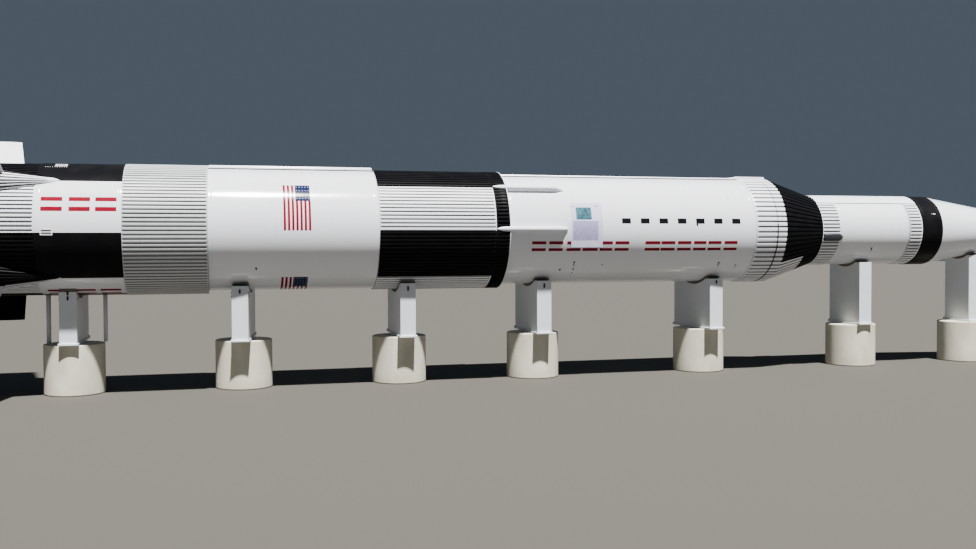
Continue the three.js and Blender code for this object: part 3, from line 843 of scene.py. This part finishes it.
# The bell's outside = throat + (mouth - throat) x sin(90 t)^power, t from 0 at the throat to 1 at the
# mouth, with raised bands round it
def addEngines(mouth, wall, ring, throat, throatAt, neck, neckEnd, flange, flangeWide, power, bands,
               bandsFrom, bandsTo, bandHigh, bandHalf):
    along = np.linspace(0, 1, 40)
    outside = throat + (mouth - throat) * np.sin(along * np.pi / 2) ** power
    where = throatAt * (1 - along)
    centres = np.linspace(bandsFrom, bandsTo, bands) * throatAt
    edges = [centres + step * bandHalf for step in (-1, -0.6, 0.6, 1)]
    stations = np.sort(np.concatenate([where, *edges]))[::-1]
    raised = np.abs(stations[:, None] - centres).min(axis=1) < bandHalf * 0.8
    radii = np.interp(stations, where[::-1], outside[::-1]) + np.where(raised, bandHigh, 0)
    radii = np.minimum(radii, mouth + 0.002)
    flangeEnd = neckEnd - flangeWide
    profile = [(neckEnd, flange), (flangeEnd, flange), (flangeEnd - 0.01, neck), (throatAt + 0.05, neck),
               (throatAt + 0.02, throat + 0.002), *zip(stations, radii),
               *zip(where[:3:-1], outside[:3:-1] - wall), (throatAt - 0.01, throat - wall)]
    for number, angle in enumerate((None, *diagonals), 1):
        offset = (0, 0) if angle is None else ring * outwards(angle)[1:]
        name = f"engine_bell_{number}"
        addPiece(name, [turned(profile, 64, offset)], [bellMetal], "bell_metal", name)


addEngines(**bell)
print("tail ready")

# Covers along the top, the separation ring with its slim fairings, and the dark pods

endGap = 0.0005  # left between a piece's end and its neighbour's
tunnelShape = dict(root=0.75, slope=0.010, fall=0.006, foot=0.008, footEdge=0.0005, recess=0.004, soft=0.002)
oxidiserTunnel = dict(half=0.042, crestHalf=0.034, drop=0.012, body=tankRadii["oxidiser"],
                      tops=(0.532, 0.532))
secondTunnel = dict(half=0.100, crestHalf=0.096, drop=0.004, body=tankRadii["second"],
                    tops=(0.487, 0.501), bends=((7.150, 0.487), (7.206, 0.501)))


# A raised cover along the top. Its outline is a recessed foot, a side, a rounded shoulder and a crest;
# the crest's height changes along it, and both ends slope down a little.
def addTunnel(name, half, crestHalf, drop, body, tops, bends=()):
    t = tunnelShape
    (start, end), (aft, fore) = span(name), tops
    rows = [(start + endGap, aft - t["fall"]), (start + t["slope"], aft), *bends,
            (end - t["slope"], fore), (end - endGap, fore - t["fall"])]
    stations, heights = np.array(rows).T
    root, ledge = body * t["root"], math.sqrt(body ** 2 - half ** 2) + t["foot"]
    inner, soft = half - t["recess"], t["soft"]
    left = np.array([-inner, -inner, -half, -half, soft - half, -crestHalf])
    side = np.concatenate([left, [0], -left[::-1]])
    foot = np.array([root, ledge - t["footEdge"], ledge, 0, 0, 0])
    shoulder = np.array([0, 0, 0, drop + soft, drop - soft / 2, 0])
    fixed, under = (np.concatenate([column, [0], column[::-1]]) for column in (foot, shoulder))
    height = np.where(fixed > 0, fixed, heights[:, None] - under)
    grid = np.stack(np.broadcast_arrays(tail + stations[:, None], side, axisZ + height), axis=-1)
    # The recessed foot's faces take the dark finish: painted shade under the cover's sides
    paintedShadeFoot = np.isin(np.arange(len(side)), (0, 1, 10, 11)).astype(int)  # the recessed foot's faces
    finishes = np.concatenate([np.tile(paintedShadeFoot, len(rows) - 1), np.zeros(2 * len(side), int)])
    addPiece(name, [ringed(grid, finishes)], [trimWhite, paintedShadeAndGlass], "gloss_paint", name, sharp=30)


addTunnel("oxidiser_tunnel", **oxidiserTunnel)
addTunnel("second_stage_tunnel", **secondTunnel)

curved = dict(name="third_stage_tunnel", halfAngle=39.7, outer=0.338, under=0.3350, recess=0.7, deep=0.02)


# A low curved cover over a dark strip that is painted shade under its edges: each is the space between two
# radii, and the strip's angles are narrower by its recess
def addCurvedTunnel(name, halfAngle, outer, under, recess, deep):
    start, end = span(name)
    along = np.linspace(start + endGap, end - endGap, 3)[:, None]
    angle = 90 + np.linspace(-halfAngle, halfAngle, 41)
    inner = 90 + (angle - 90) * (1 - recess / halfAngle)
    cover = slab(around(along, outer, angle), around(along, under, angle))
    shadeStrip = slab(around(along, under - 0.0001, inner), around(along, under - deep, inner), 1)
    addPiece(name, [cover, shadeStrip], [trimWhite, paintedShadeAndGlass], "gloss_paint", name)


addCurvedTunnel(**curved)

slim = dict(angles=(0, 45, 135, 180), inner=0.470,
            stations=(4.768, 4.790, 4.825, 4.868, 5.260, 5.330, 5.403),
            halves=(0.003, 0.0125, 0.019, 0.0225, 0.0225, 0.0215, 0.013),
            outers=(0.517, 0.523, 0.526, 0.527, 0.527, 0.525, 0.490))


# A slim fairing: rings of a foot, two sides and a half-round back, widening from a lens-shaped nose
def slimFairing(angle):
    stations, half, outer = (np.array(slim[key])[:, None] for key in ("stations", "halves", "outers"))
    arc = np.radians(np.linspace(-90, 90, 9))
    foot = np.full_like(half, slim["inner"])
    side = np.concatenate([-half, half * np.sin(arc), half], axis=1)
    out = np.concatenate([foot, outer - half + half * np.cos(arc), foot], axis=1)
    return ringed(beside(stations, out, side, angle), 1)


separation = dict(name="separation_ring", start=4.764, end=4.887, radius=0.515, ribs=100, depth=0.009,
                  edge=0.0015, crests=(0.005, 0.009), grooves=(0.018, 0.022), rim=0.006, rimRadius=0.5165,
                  lip=0.500)


# A black ribbed ring with a white rim at its fore end
def addSeparationRing(name, start, end, radius, ribs, depth, edge, crests, grooves, rim, rimRadius, lip):
    rows = [(start, 0, edge), (start + edge, 0, 0), (start + crests[0], 0, 0), (start + grooves[0], 1, 0),
            (end - grooves[1], 1, 0), (end - crests[1], 0, 0), (end - 0.002, 0, 0.001)]
    stations, opened, inset = (column[:, None] for column in np.array(rows).T)
    angles, depths = ribColumns(ribs)
    groove = opened * depths
    ring = ringed(around(stations, radius - inset - depth * groove, angles))
    rimProfile = [(end - rim, rimRadius), (end - 0.001, rimRadius), (end, radius), (end + 0.0005, lip)]
    shapes = [ring, turned(rimProfile, finish=1), *(slimFairing(angle) for angle in slim["angles"])]
    addPiece(name, shapes, [ringBlack, trimWhite], "ring_paint", name, groove=groove)


addSeparationRing(**separation)

pod = dict(start=7.996, end=8.205, nose=0.050, half=0.037, inner=0.312, outer=0.356, power=0.6, foot=0.35,
           angles=(-12, 168))


# A control pod: an upright rounded hump whose nose slopes down to a point. Across it, the side goes as
# sin(a)^power and the height as cos(a)^power, a from -90 to 90.
def addPods(start, end, nose, half, inner, outer, power, foot, angles):
    rows = [(start, 0.90, 0.90), (start + 0.006, 1, 1), (end - nose, 1, 1), (end - nose / 2, 0.72, 0.8),
            (end - nose / 8, 0.35, 0.52), (end, 0.15, 0.42)]  # station, share of width, share of height
    stations, width, height = (column[:, None] for column in np.array(rows).T)
    arc = np.radians(np.linspace(-90, 90, 13))
    across = np.sign(np.sin(arc)) * np.abs(np.sin(arc)) ** power
    upward = foot + (1 - foot) * np.abs(np.cos(arc)) ** power
    side = half * width * np.concatenate([[-1], across, [1]])
    out = inner + (outer - inner) * height * np.concatenate([[0], upward, [0]])
    for number, angle in enumerate(angles, 1):
        name = f"control_pod_{number}"
        addPiece(name, [ringed(beside(stations, out, side, angle))], [podGrey], "pod_paint", name)


addPods(**pod)
print("covers, ring and pods ready")

# Spacecraft: service module with its thruster blocks, capsule, lattice tower and escape motor

module = dict(start=10.158, end=10.550, radius=0.1955, seams=(10.228, 10.490), thrusterAt=10.290,
              blockWidth=0.040, blockOut=0.209, nozzle=0.009, nozzleLength=0.017)


# A turned barrel, its radius less in each seam's groove, with a turned block at each diagonal and four
# flared nozzles round it: forward, back and to both sides
def addServiceModule(start, end, radius, seams, thrusterAt, blockWidth, blockOut, nozzle, nozzleLength):
    profile = [(start, radius - 0.003), (start + 0.002, radius)]
    for seam in seams:
        profile += [(seam - 0.002, radius), (seam - 0.001, radius - 0.0025), (seam + 0.001, radius - 0.0025),
                    (seam + 0.002, radius)]
    profile += [(end - 0.002, radius), (end, radius - 0.003)]
    top = blockOut - radius + 0.002
    blockProfile = [(0, blockWidth * 0.62), (top * 0.6, blockWidth * 0.6), (top, blockWidth * 0.42)]
    flared = [(0, nozzle * 0.4), (nozzleLength, nozzle), (nozzleLength, nozzle * 0.8),
              (nozzleLength * 0.4, nozzle * 0.4)]
    ahead = np.array([1, 0, 0])
    shapes = [turned(profile, 128)]
    for angle in diagonals:
        outward, sideways = outwards(angle), outwards(angle + 90)
        base = np.array([tail + thrusterAt, 0, axisZ]) + outward * (radius - 0.004)
        shapes.append(turnedAlong(base, outward, blockProfile, 24))
        for direction in (ahead, -ahead, sideways, -sideways):
            root = base + outward * top * 0.75 + direction * blockWidth * 0.3
            shapes.append(turnedAlong(root, direction, flared, 16, finish=1))
    addPiece("service_module", shapes, [trimWhite, bellMetal], "module_paint", "service_module")


addServiceModule(**module)

capsule = dict(start=10.550, shoulder=10.572, radius=0.1955, top=10.880, topRadius=0.058, end=10.895,
               endRadius=0.044, seamHalf=0.002, windowAt=10.700, windowAngles=(-25, 25, 90), window=0.019,
               glass=0.015, frameHigh=0.0035)


# A turned cone: radius = shoulder's radius + slope x (station - shoulder), with a seam halfway and round
# window frames that stand square on it
def addCapsule(start, shoulder, radius, top, topRadius, end, endRadius, seamHalf, windowAt, windowAngles,
               window, glass, frameHigh):
    slope = (topRadius - radius) / (top - shoulder)
    seam = 0.5 * (shoulder + top)

    def onCone(at, inset=0.0):
        return at, radius + slope * (at - shoulder) - inset

    profile = [(start + endGap, radius - 0.004), (start + 0.004, radius), (shoulder - 0.006, radius),
               (shoulder + 0.004, onCone(shoulder + 0.006)[1]),
               onCone(seam - seamHalf), onCone(seam, seamHalf), onCone(seam + seamHalf),
               onCone(top - 0.004), (top + 0.002, topRadius - 0.004), (end, endRadius)]
    windowProfile = [(0, window), (frameHigh, window), (frameHigh, glass)]
    shapes = [turned(profile, 128)]
    for angle in windowAngles:
        base = around(*onCone(windowAt, 0.002), angle)
        shapes.append(turnedAlong(base, outwards(angle, -slope), windowProfile, 24, finish=1))
    addPiece("command_module", shapes, [trimWhite, paintedShadeAndGlass], "module_paint", "command_module")


addCapsule(**capsule)

lattice = dict(aft=10.866, fore=11.200, aftRadius=0.060, foreRadius=0.048, bays=3, leg=0.0055, rail=0.004,
               brace=0.0032)


# Four legs that lean together, with a square of rails and one brace a side in each bay
def addTower(aft, fore, aftRadius, foreRadius, bays, leg, rail, brace):
    front = fore - 2 * rail

    def corner(level, side):
        share = level / bays
        radius = aftRadius + (foreRadius - aftRadius) * share
        return around(aft + (front - aft) * share, radius, 45 + 90 * side)

    legEnd = bays * (fore - aft) / (front - aft)
    rods = []
    for side in range(4):
        rods.append(rod(corner(0.04, side), corner(legEnd, side), leg))
        for level in range(1, bays + 1):
            rods.append(rod(corner(level, side), corner(level, side + 1), rail))
            rods.append(rod(corner(level - 1, side), corner(level, side + 1), brace))
    addPiece("escape_tower", rods, [trimWhite], "tower_paint", "escape_tower")


addTower(**lattice)

motor = dict(start=11.200, flare=0.060, flareEnd=11.225, tube=11.290, radius=0.033, tubeEnd=11.690,
             tip=11.800, seams=(11.390, 11.540, 11.680), power=1.7, nozzle=0.014, nozzleLength=0.026,
             nozzlePlace=(11.249, 0.040), lean=-0.75)


# The motor's nose: radius x sqrt(1 - t^power), t from 0 at the tube's end to 1 at the tip
def addMotor(start, flare, flareEnd, tube, radius, tubeEnd, tip, seams, power, nozzle, nozzleLength,
             nozzlePlace, lean):
    profile = [(start, flare - 0.004), (start + 0.003, flare), (flareEnd, flare), (tube, radius + 0.001),
               (tube + 0.004, radius)]
    for seam in seams:
        profile += [(seam - 0.002, radius), (seam, radius + 0.0015), (seam + 0.002, radius)]
    nose = np.linspace(0.0, 1.0, 12)
    profile += zip(tubeEnd + (tip - tubeEnd) * nose, radius * np.sqrt(1 - nose ** power) + 0.0004)
    flared = [(0, nozzle * 0.5), (nozzleLength, nozzle), (nozzleLength, nozzle * 0.85), (0.010, nozzle * 0.4)]
    shapes = [turned(profile, 48)]
    for angle in diagonals:
        base = around(*nozzlePlace, angle)
        shapes.append(turnedAlong(base, outwards(angle, lean), flared, 20, finish=1))
    addPiece("escape_motor", shapes, [trimWhite, bellMetal], "tower_paint", "escape_motor")


addMotor(**motor)
print("spacecraft ready")

# Plinths: cast drums, painted posts on foot plates, and rubber in the saddles

plinths = (  # turn is in degrees; radius and slope are the body's over the post
    dict(drum=1.377, post=1.366, turn=0, front=-0.251, back=0.430, height=0.843, radius=0.527, slope=0),
    dict(drum=2.701, post=2.701, turn=-6, front=-0.325, back=0.370, height=0.856, radius=0.503, slope=0),
    dict(drum=4.014, post=4.040, turn=0, front=-0.319, back=0.370, height=0.862, radius=0.513, slope=0),
    dict(drum=5.230, post=5.243, turn=0, front=-0.314, back=0.370, height=0.868, radius=0.479, slope=0),
    dict(drum=6.867, post=6.880, turn=3, front=-0.309, back=0.370, height=0.868, radius=0.479, slope=0),
    dict(drum=8.509, post=8.509, turn=0, front=-0.240, back=0.252, height=1.004, radius=0.330, slope=0),
    dict(drum=9.81, post=9.81, turn=0, front=-0.172, back=0.172, height=1.068, radius=0.2516, slope=-0.1612),
)
stand = dict(drumRadius=0.232, drumHeight=0.402, drumEdge=0.008, footHigh=0.020, footLength=0.150,
             overhang=0.018, post=0.130, padThick=0.024, padProud=0.020, padIn=0.0006)
bolt = dict(radius=0.010, high=0.009, along=0.06496, out=0.004)
# Side bolts stand at a distance behind the front face, and at a height
sideBolts = dict(radius=0.011, posts=(1, 2), places=((0.045, 0.800), (0.045, 0.770)))
# Each slot is a dark plate standing a little proud: painted shade for the hollow of a slot
slotShadePlates = dict(width=0.014, proud=0.0012, places={  # for each post, the height and length of its slots
    1: ((0.815, 0.034), (0.775, 0.034)), 2: ((0.812, 0.036),), 3: ((0.818, 0.042),), 4: ((0.826, 0.042),),
    5: ((0.838, 0.030),)})


# Body surface's height over a point beside the axis: axis - sqrt(radius^2 - y^2)
def underBody(plinth, x, y, growth):
    radius = plinth["radius"] + plinth["slope"] * (x - (tail + plinth["post"])) + growth
    return axisZ - np.sqrt(np.maximum(radius ** 2 - y ** 2, 0))


# Turned by the post's angle and moved to its station: x cos - y sin, x sin + y cos
def turnedAbout(plinth, x, y):
    turn = math.radians(plinth["turn"])
    c, s = math.cos(turn), math.sin(turn)
    return tail + plinth["post"] + x * c - y * s, x * s + y * c


# A drum is a profile turned round an upright line: one radius, drawn in at the foot and the rim
def addDrum(name, plinth):
    radius, high, edge = (stand[key] for key in ("drumRadius", "drumHeight", "drumEdge"))
    profile = [(endGap, radius - edge * 0.6), (edge, radius), (high * 0.5, radius), (high - edge, radius),
               (high - edge * 0.3, radius - edge * 0.3), (high, radius - edge)]
    drum = turnedAlong((tail + plinth["drum"], 0, 0), (0, 0, 1), profile, 96)
    addPiece(name, [drum], [creamDrum], "drum_paint", name)


# A post's top follows the body's surface grown by the pad, up to its shoulders
def addPost(name, number, plinth):
    front, back, turn = plinth["front"], plinth["back"], math.radians(plinth["turn"])
    half, high, floor = stand["post"] / 2, stand["footHigh"], stand["drumHeight"] + endGap
    footTop = floor + high
    footX, footY = turnedAbout(plinth, 0, (front + back) / 2)
    footSize = (stand["footLength"], back - front + 2 * stand["overhang"], high)
    foot = block((footX, footY, floor + high / 2), footSize, 0.004, turn)
    across = np.linspace(front, back, 61)
    level = np.array([0.0, 0.5, 1.0])[:, None]

    def face(x):
        worldX, worldY = turnedAbout(plinth, x, across)
        top = np.minimum(plinth["height"], underBody(plinth, worldX, worldY, stand["padThick"]))
        z = footTop - 0.002 + (top - footTop + 0.002) * level
        return np.stack(np.broadcast_arrays(worldX, worldY, z), axis=-1)

    shapes = [foot, slab(face(-half), face(half))]
    head = [(0, bolt["radius"]), (bolt["high"] - 0.002, bolt["radius"]), (bolt["high"], bolt["radius"] * 0.8)]
    for x in (-bolt["along"], bolt["along"]):
        for y in (front - bolt["out"], back + bolt["out"]):
            base = (*turnedAbout(plinth, x, y), footTop - 0.001)
            shapes.append(turnedAlong(base, (0, 0, 1), head, 6, finish=1))
    sideHead = [(0, sideBolts["radius"]), (0.008, sideBolts["radius"]), (0.010, 0.008)]
    for behind, height in sideBolts["places"] if number in sideBolts["posts"] else ():
        for side in (-1, 1):
            base = (*turnedAbout(plinth, side * (half - 0.001), front + behind), height)
            outward = (side * math.cos(turn), side * math.sin(turn), 0)
            shapes.append(turnedAlong(base, outward, sideHead, 6, finish=1))
    # The slots: dark plates, painted shade in place of the hollow inside
    for height, length in slotShadePlates["places"].get(number, ()):
        size = (slotShadePlates["width"], length, 2 * slotShadePlates["proud"])
        points, quads, triangles, _ = block((0, 0, 0), size, slotShadePlates["width"] * 0.49)
        x, y = turnedAbout(plinth, points[:, 0], front + points[:, 2])
        shapes.append(facedOut(np.stack([x, y, height + points[:, 1]], axis=-1), quads, triangles, 2))
    addPiece(name, shapes, [postPaint, boltSteel, paintedShadeAndGlass], "post_paint", name, bevel=0.0015)


# The pad fills the space between the post's top and the body, and stands a little proud of the shoulders
def addPad(name, plinth):
    half, thick, inside = stand["post"] / 2 - 0.001, stand["padThick"], stand["padIn"]
    limit = plinth["height"] + stand["padProud"]

    def sheetRow(x, growth):
        radius = plinth["radius"] + plinth["slope"] * x + growth
        reach = np.sqrt(max(radius ** 2 - (axisZ - limit) ** 2, 0.0004))
        ends = np.arcsin(np.clip([plinth["front"], plinth["back"]], -reach, reach) / radius)
        y = radius * np.sin(np.linspace(*ends, 49))
        worldX, worldY = turnedAbout(plinth, x, y)
        return np.stack([worldX, worldY, underBody(plinth, worldX, worldY, growth)], axis=-1)

    rows = np.linspace(-half, half, 3)
    sheets = [np.stack([sheetRow(x, growth) for x in rows]) for growth in (inside, thick - inside)]
    addPiece(name, [slab(*sheets)], [padRubber], "pad_rubber", name)


for number, plinth in enumerate(plinths, 1):
    addDrum(f"plinth_drum_{number}", plinth)
    addPost(f"plinth_post_{number}", number, plinth)
    addPad(f"plinth_pad_{number}", plinth)

for name in ("side_bar_1", "side_bar_2"):
    low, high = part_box(name)
    bar = block(tuple((low + high) / 2), tuple(high - low), 0.003)
    addPiece(name, [bar], [postPaint], "post_paint", name)
print("plinths ready")
